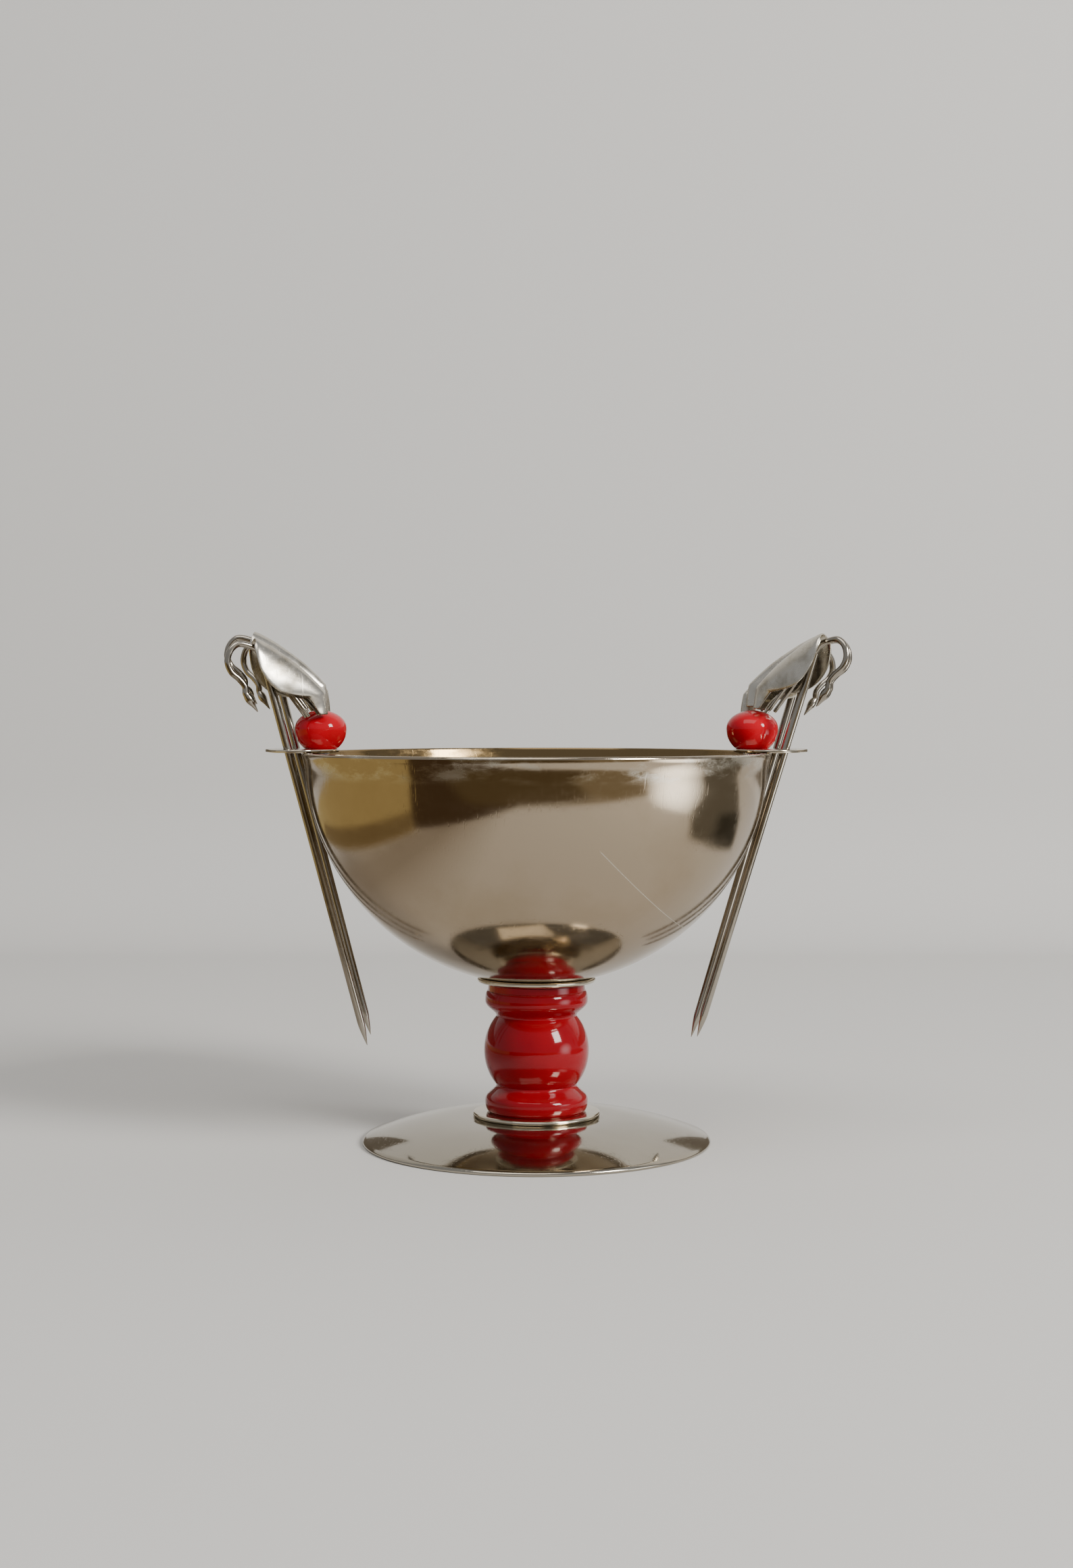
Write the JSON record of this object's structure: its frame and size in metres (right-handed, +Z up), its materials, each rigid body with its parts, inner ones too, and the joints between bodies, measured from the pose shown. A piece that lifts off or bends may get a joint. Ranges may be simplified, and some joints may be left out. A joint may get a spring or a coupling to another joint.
{
  "type": "footed pick bowl",
  "caption": "Footed round bowl on a turned stem, with bird-topped picks that lift out of ear plates at both sides of the rim.",
  "frame": {"origin": "centre of the foot's underside, on the surface that it stands on", "axes": "+Z up, +X through the right ear and its picks, -Y towards the front"},
  "size_m": [0.1087, 0.0814, 0.0888],
  "materials": {
    "foot": "mirror polish, slightly warm, faint wear marks",
    "bowl": "mirror polish, warm tone, faint wear marks",
    "washer": "polished",
    "ear": "polished, slightly dull",
    "stem": "deep gloss red",
    "bead": "deep gloss red",
    "fastener": "plain bright steel",
    "pick_shaft": "worn nickel silver, satin",
    "bird_body": "worn nickel silver sheet, satin outside, yellower inside",
    "bird_neck": "worn nickel silver wire",
    "bird_legs": "worn nickel silver wire"
  },
  "bodies": {
    "stand": {"foot_disc": "foot", "lower_washer": "washer", "stem": "stem", "upper_washer": "washer", "bowl": "bowl", "tie_screw": "fastener", "tie_nut": "fastener", "ear_left": "ear", "ear_right": "ear", "bead_left": "bead", "bead_right": "bead", "bead_screw_left": "fastener", "bead_screw_right": "fastener"},
    "pick_left_front": {"pick_left_front_shaft": "pick_shaft", "pick_left_front_body": "bird_body", "pick_left_front_neck": "bird_neck", "pick_left_front_legs": "bird_legs"},
    "pick_left_middle": {"pick_left_middle_shaft": "pick_shaft", "pick_left_middle_body": "bird_body", "pick_left_middle_neck": "bird_neck", "pick_left_middle_legs": "bird_legs"},
    "pick_left_back": {"pick_left_back_shaft": "pick_shaft", "pick_left_back_body": "bird_body", "pick_left_back_neck": "bird_neck", "pick_left_back_legs": "bird_legs"},
    "pick_right_front": {"pick_right_front_shaft": "pick_shaft", "pick_right_front_body": "bird_body", "pick_right_front_neck": "bird_neck", "pick_right_front_legs": "bird_legs"},
    "pick_right_middle": {"pick_right_middle_shaft": "pick_shaft", "pick_right_middle_body": "bird_body", "pick_right_middle_neck": "bird_neck", "pick_right_middle_legs": "bird_legs"},
    "pick_right_back": {"pick_right_back_shaft": "pick_shaft", "pick_right_back_body": "bird_body", "pick_right_back_neck": "bird_neck", "pick_right_back_legs": "bird_legs"}
  },
  "joints": [
    {"name": "pick_left_front_lift", "type": "slide", "parent": "stand", "child": "pick_left_front", "axis": [-0.252, -0.0416, 0.9668], "range_m": [0, 0.05]},
    {"name": "pick_left_middle_lift", "type": "slide", "parent": "stand", "child": "pick_left_middle", "axis": [-0.2554, 0, 0.9668], "range_m": [0, 0.05]},
    {"name": "pick_left_back_lift", "type": "slide", "parent": "stand", "child": "pick_left_back", "axis": [-0.252, 0.0416, 0.9668], "range_m": [0, 0.05]},
    {"name": "pick_right_front_lift", "type": "slide", "parent": "stand", "child": "pick_right_front", "axis": [0.2852, -0.0471, 0.9573], "range_m": [0, 0.05]},
    {"name": "pick_right_middle_lift", "type": "slide", "parent": "stand", "child": "pick_right_middle", "axis": [0.289, 0, 0.9573], "range_m": [0, 0.05]},
    {"name": "pick_right_back_lift", "type": "slide", "parent": "stand", "child": "pick_right_back", "axis": [0.2852, 0.0471, 0.9573], "range_m": [0, 0.05]}
  ]
}
